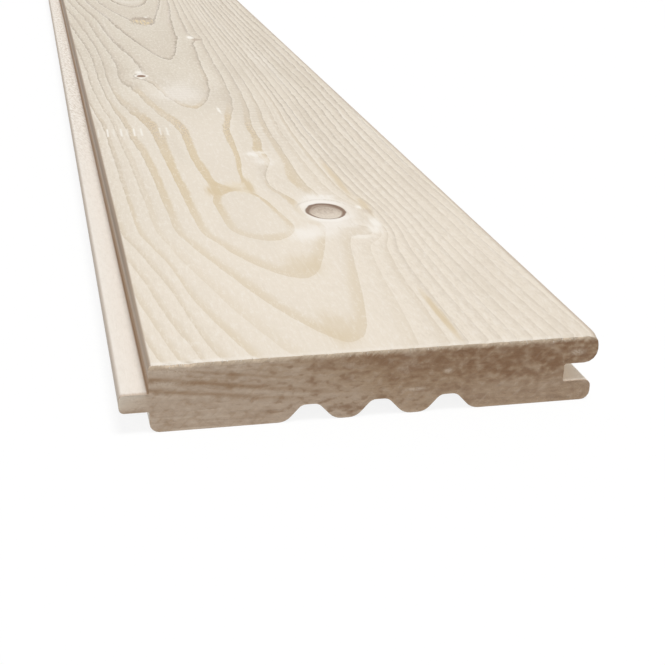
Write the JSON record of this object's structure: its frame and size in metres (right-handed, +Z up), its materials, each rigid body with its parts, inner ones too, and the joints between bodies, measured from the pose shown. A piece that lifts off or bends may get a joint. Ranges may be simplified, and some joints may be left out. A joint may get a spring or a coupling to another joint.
{
  "type": "tongue and groove floorboard",
  "caption": "Planed softwood floorboard with a tongue along one edge, a groove along the other and relief channels underneath, laid edge to edge over joists.",
  "frame": {"origin": "on the underside's plane, at the middle of the length and of the overall width over the tongue", "axes": "+X across the board from tongue to groove, +Y along its length, +Z up through the face"},
  "size_m": [0.1436, 4.5, 0.021],
  "materials": {
    "planed_softwood": "bare planed spruce, matte"
  },
  "bodies": {
    "root": {"board": "planed_softwood"}
  },
  "joints": []
}
